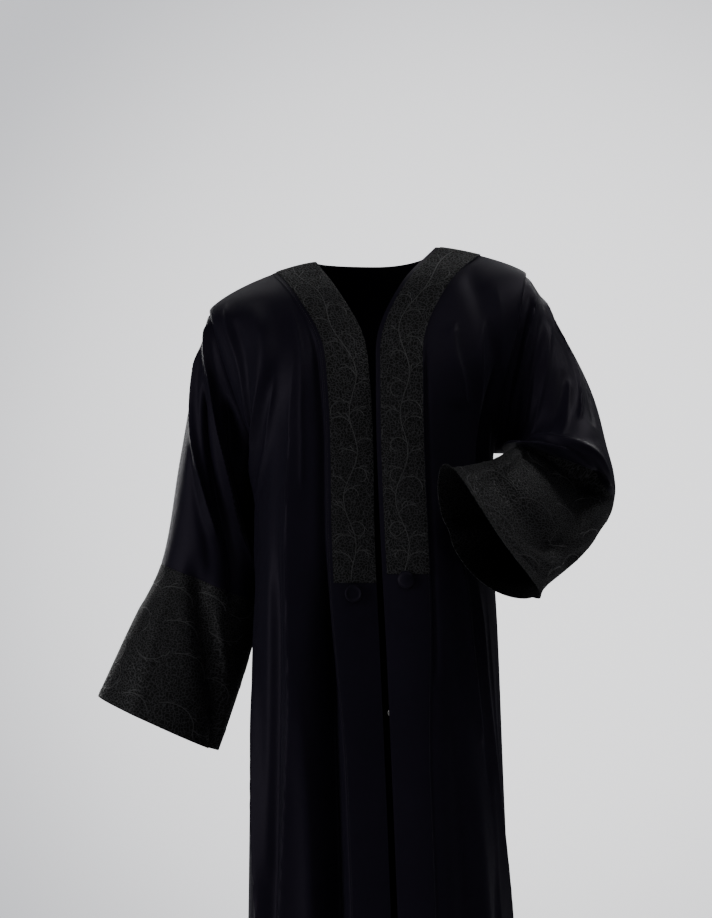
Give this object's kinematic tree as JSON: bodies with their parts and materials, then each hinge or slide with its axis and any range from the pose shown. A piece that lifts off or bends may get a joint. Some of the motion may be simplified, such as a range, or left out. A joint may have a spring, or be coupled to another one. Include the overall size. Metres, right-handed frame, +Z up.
{
  "type": "abaya cloak",
  "caption": "Open-front abaya cloak in its worn form: plain full-length front bands, lace chest bands, covered buttons and deep flared lace cuffs, one sleeve bent forward.",
  "frame": {"origin": "Midway between the two high shoulder points, where the wearer's shoulders carry the garment.", "axes": "+Z up the garment, which hangs down from the origin; the front faces -Y; +X is the wearer's left."},
  "size_m": [0.6789, 0.4299, 1.4331],
  "materials": {
    "crepe": "near-black blue-violet crepe, matte with a soft sheen",
    "lace": "black corded lace on black net, a scrolling vine over a dense squiggle ground",
    "covered_button": "button covered in the black crepe, soft sheen",
    "snap_metal": "small bright metal snap fastener"
  },
  "bodies": {
    "root": {"back_panel": "crepe", "front_panel_right": "crepe", "front_panel_left": "crepe", "front_band_right": "crepe", "front_band_left": "crepe", "lace_band_right": "lace", "lace_band_left": "lace", "sleeve_right": "crepe", "sleeve_left": "crepe", "lace_cuff_right": "lace", "lace_cuff_left": "lace", "button_right": "covered_button", "button_left": "covered_button", "snap_socket": "snap_metal", "snap_stud": "snap_metal"}
  },
  "joints": []
}
